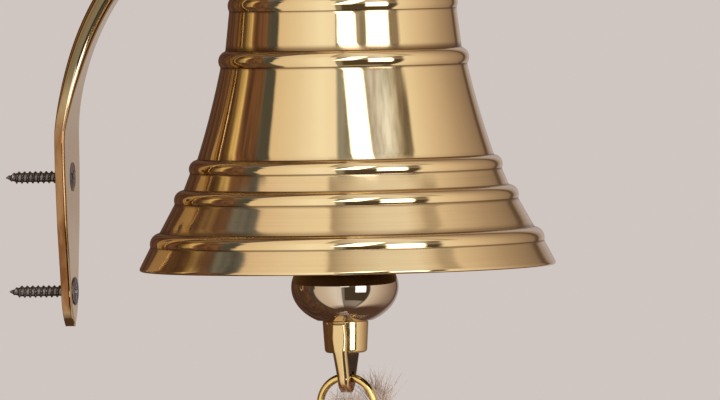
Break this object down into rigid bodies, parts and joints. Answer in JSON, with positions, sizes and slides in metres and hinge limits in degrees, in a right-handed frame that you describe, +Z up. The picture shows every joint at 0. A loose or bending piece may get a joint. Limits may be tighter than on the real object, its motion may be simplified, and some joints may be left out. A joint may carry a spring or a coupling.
{
  "type": "wall bell",
  "caption": "Hand-rung brass alarm bell on a curved wall bracket, with a swinging clapper, pull ring and rope lanyard.",
  "frame": {"origin": "on the back face of the wall plate, midway between the two screws", "axes": "+Z up, +X from the wall out to the bell, +Y to the right seen from the wall"},
  "size_m": [0.2, 0.15, 0.4527],
  "materials": {
    "brass_bell": "polished, with fine turned lines between the beads",
    "brass_bracket": "polished casting",
    "brass_hardware": "polished",
    "brass_ring": "bright polished wire",
    "bronze_bob": "polished, darker bronze",
    "screw_steel": "darkened steel",
    "spring_steel": "zinc plated",
    "fibre_washer": "red-brown vulcanised fibre",
    "lanyard_rope": "three-strand natural cotton rope",
    "seizing_twine": "waxed twine"
  },
  "bodies": {
    "bell_stand": {"wall_bracket": "brass_bracket", "upper_screw": "screw_steel", "lower_screw": "screw_steel", "bell_shell": "brass_bell", "inner_washer": "brass_hardware", "crown_washer": "fibre_washer", "spacer_collar": "brass_hardware", "top_washer": "brass_hardware", "lock_washer": "spring_steel", "dome_nut": "brass_hardware", "hanger_fork": "brass_hardware", "clevis_pin": "spring_steel", "split_pin": "spring_steel"},
    "clapper": {"clapper_rod": "brass_hardware", "clapper_bob": "bronze_bob", "clapper_tail": "brass_hardware"},
    "ring": {"pull_ring": "brass_ring"},
    "lanyard": {"rope_eye": "lanyard_rope", "rope_seizing": "seizing_twine", "rope_tail": "lanyard_rope", "hanging_rope": "lanyard_rope", "end_knot": "lanyard_rope", "end_tassel": "lanyard_rope"}
  },
  "joints": [
    {"name": "clapper_swing", "type": "hinge", "parent": "bell_stand", "child": "clapper", "pos_m": [0.104, 0, 0.0905], "axis": [0.9903, -0.1392, 0], "range_deg": [-25, 25]},
    {"name": "ring_swing", "type": "hinge", "parent": "clapper", "child": "ring", "pos_m": [0.10281, 0.00017, -0.0529], "axis": [0.9903, -0.1392, 0], "range_deg": [-70, 70]},
    {"name": "lanyard_swing", "type": "hinge", "parent": "ring", "child": "lanyard", "pos_m": [0.10281, 0.00017, -0.063], "axis": [0.1392, 0.9903, 0], "range_deg": [-50, 50]}
  ]
}
